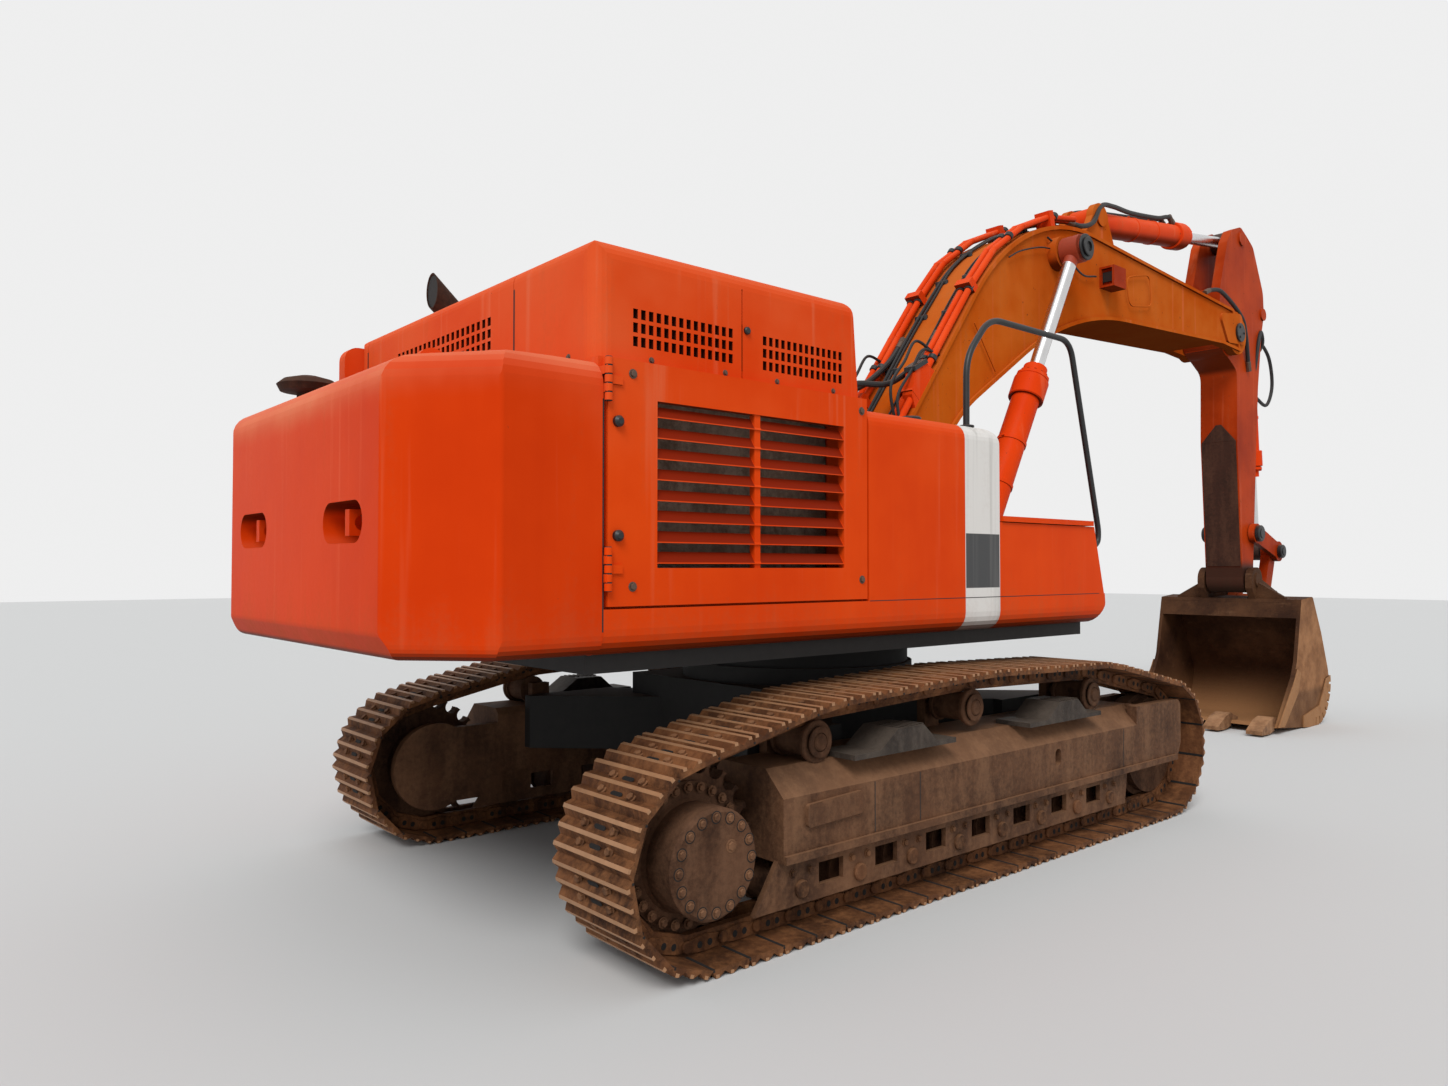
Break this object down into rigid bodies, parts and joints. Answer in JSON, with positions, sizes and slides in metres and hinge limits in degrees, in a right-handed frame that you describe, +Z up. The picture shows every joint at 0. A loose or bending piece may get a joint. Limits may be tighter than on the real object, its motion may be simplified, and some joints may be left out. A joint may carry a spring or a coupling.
{
  "type": "crawler excavator",
  "caption": "Crawler excavator with a one-piece boom, arm and bucket, louvred engine housing, heavy counterweight and triple-grouser tracks; slewing upper and working front.",
  "frame": {"origin": "on the ground at the middle of the overall box", "axes": "+X towards the bucket, +Y to the machine's left, +Z up"},
  "size_m": [11.8946, 3.49, 5.961],
  "materials": {
    "track_steel": "rusted steel with bright worn edges",
    "undercarriage": "dirty painted steel",
    "bearing_steel": "machined ring, greased",
    "step_grey": "worn grey steps",
    "frame_black": "dark frame paint",
    "orange_paint": "weathered orange gloss",
    "boom_paint": "faded ochre orange",
    "engine_grey": "grey engine block",
    "radiator_core": "dusty dark core",
    "exhaust_rust": "rusted pipe",
    "window_glass": "clear glass",
    "cab_trim": "dark trim",
    "rail_black": "black tube",
    "lamp_brown": "lamp box",
    "rod_chrome": "polished rod",
    "bucket_steel": "rusted, scraped plate",
    "tooth_steel": "worn bare steel"
  },
  "bodies": {
    "undercarriage": {"carbody": "undercarriage", "slew_ring": "bearing_steel", "track_frame_right": "undercarriage", "track_frame_left": "undercarriage", "track_right": "track_steel", "track_left": "track_steel", "sprocket_right": "undercarriage", "sprocket_left": "undercarriage", "idlers": "undercarriage", "bottom_rollers": "undercarriage", "carrier_rollers": "undercarriage", "steps": "step_grey"},
    "upper": {"revolving_frame": "frame_black", "sills": "orange_paint", "counterweight": "orange_paint", "engine": "engine_grey", "radiator": "radiator_core", "hood": "orange_paint", "tank_housing": "orange_paint", "tool_box": "orange_paint", "left_housing": "orange_paint", "right_housing": "orange_paint", "cab_shell": "orange_paint", "cab_glass": "window_glass", "seat": "cab_trim", "controls": "cab_trim", "handrail": "rail_black", "intake_cap": "lamp_brown"},
    "grille_door": {"grille_door": "orange_paint"},
    "left_door": {"left_door": "orange_paint"},
    "cab_door": {"cab_door": "orange_paint", "cab_door_glass": "window_glass"},
    "hood_lid": {"hood_lid": "orange_paint", "exhaust": "exhaust_rust"},
    "tool_box_lid": {"tool_box_lid": "orange_paint"},
    "boom": {"boom": "boom_paint", "boom_pipes": "orange_paint", "boom_lamp": "lamp_brown"},
    "boom_barrels": {"boom_barrels": "orange_paint"},
    "boom_rods": {"boom_rods": "rod_chrome"},
    "arm": {"arm": "orange_paint"},
    "arm_barrel": {"arm_barrel": "orange_paint"},
    "arm_rod": {"arm_rod": "rod_chrome"},
    "bucket_barrel": {"bucket_barrel": "orange_paint"},
    "bucket_rod": {"bucket_rod": "rod_chrome"},
    "guide_links": {"guide_links": "orange_paint"},
    "bucket_link": {"bucket_link": "orange_paint"},
    "bucket": {"bucket": "bucket_steel", "bucket_teeth": "tooth_steel"}
  },
  "joints": [
    {"name": "slew", "type": "hinge", "parent": "undercarriage", "child": "upper", "pos_m": [-2.39726, 0, 1.36], "axis": [0, 0, 1], "continuous": true},
    {"name": "grille_door_hinge", "type": "hinge", "parent": "upper", "child": "grille_door", "pos_m": [-5.06926, -1.509, 2.2], "axis": [0, 0, -1], "range_deg": [0, 110]},
    {"name": "left_door_hinge", "type": "hinge", "parent": "upper", "child": "left_door", "pos_m": [-5.06926, 1.509, 2.2], "axis": [0, 0, 1], "range_deg": [0, 110]},
    {"name": "cab_door_hinge", "type": "hinge", "parent": "upper", "child": "cab_door", "pos_m": [-2.39026, 1.509, 2.4], "axis": [0, 0, 1], "range_deg": [0, 95]},
    {"name": "hood_lid_hinge", "type": "hinge", "parent": "upper", "child": "hood_lid", "pos_m": [-3.42726, 0, 3.345], "axis": [0, 1, 0], "range_deg": [0, 60]},
    {"name": "tool_box_lid_hinge", "type": "hinge", "parent": "upper", "child": "tool_box_lid", "pos_m": [-1.44726, -0.975, 2.1625], "axis": [-1, 0, 0], "range_deg": [0, 80]},
    {"name": "boom_hoist", "type": "hinge", "parent": "upper", "child": "boom", "pos_m": [-1.97726, 0, 2.02], "axis": [0, -1, 0], "range_deg": [-45, 25]},
    {"name": "boom_barrel_pivot", "type": "hinge", "parent": "upper", "child": "boom_barrels", "pos_m": [-1.00726, 0, 1.75], "axis": [0, -1, 0], "range_deg": [-51.71, 28.95]},
    {"name": "boom_rod_slide", "type": "slide", "parent": "boom_barrels", "child": "boom_rods", "axis": [0.4868, 0, 0.8735], "range_m": [-0.6864, 0.3902]},
    {"name": "arm_swing", "type": "hinge", "parent": "boom", "child": "arm", "pos_m": [4.58253, 0, 4.60021], "axis": [0, 1, 0], "range_deg": [-42, 50]},
    {"name": "arm_barrel_pivot", "type": "hinge", "parent": "boom", "child": "arm_barrel", "pos_m": [1.70229, 0, 5.33061], "axis": [0, 1, 0], "range_deg": [-8.91, 10.52]},
    {"name": "arm_rod_slide", "type": "slide", "parent": "arm_barrel", "child": "arm_rod", "axis": [0.9888, 0, 0.149], "range_m": [-0.7986, 0.9469]},
    {"name": "bucket_curl", "type": "hinge", "parent": "arm", "child": "bucket", "pos_m": [5.05226, 0, 1.7], "axis": [0, 1, 0], "range_deg": [-75, 60]},
    {"name": "guide_link_pivot", "type": "hinge", "parent": "arm", "child": "guide_links", "pos_m": [5.16218, 0, 2.25977], "axis": [0, 1, 0], "range_deg": [-67.32, 53.95]},
    {"name": "bucket_link_pivot", "type": "hinge", "parent": "guide_links", "child": "bucket_link", "pos_m": [5.82226, 0, 2.05], "axis": [0, 1, 0], "range_deg": [-46.88, 58.48]},
    {"name": "bucket_barrel_pivot", "type": "hinge", "parent": "arm", "child": "bucket_barrel", "pos_m": [5.58244, 0, 5.00022], "axis": [0, 1, 0], "range_deg": [-4.72, 3.88]},
    {"name": "bucket_rod_slide", "type": "slide", "parent": "bucket_barrel", "child": "bucket_rod", "axis": [0.081, 0, -0.9967], "range_m": [-0.739, 0.5952]}
  ],
  "couplings": [
    {"joint": "boom_barrel_pivot", "follows": "boom_hoist", "ratio": 1.1379},
    {"joint": "boom_rod_slide", "follows": "boom_hoist", "m_per_rad": 0.84852},
    {"joint": "arm_barrel_pivot", "follows": "arm_swing", "ratio": 0.20033},
    {"joint": "arm_rod_slide", "follows": "arm_swing", "m_per_rad": 1.0622},
    {"joint": "guide_link_pivot", "follows": "bucket_curl", "ratio": 0.89089},
    {"joint": "bucket_link_pivot", "follows": "bucket_curl", "ratio": -0.77307},
    {"joint": "bucket_barrel_pivot", "follows": "bucket_curl", "ratio": 0.05632},
    {"joint": "bucket_rod_slide", "follows": "bucket_curl", "m_per_rad": 0.54929}
  ]
}
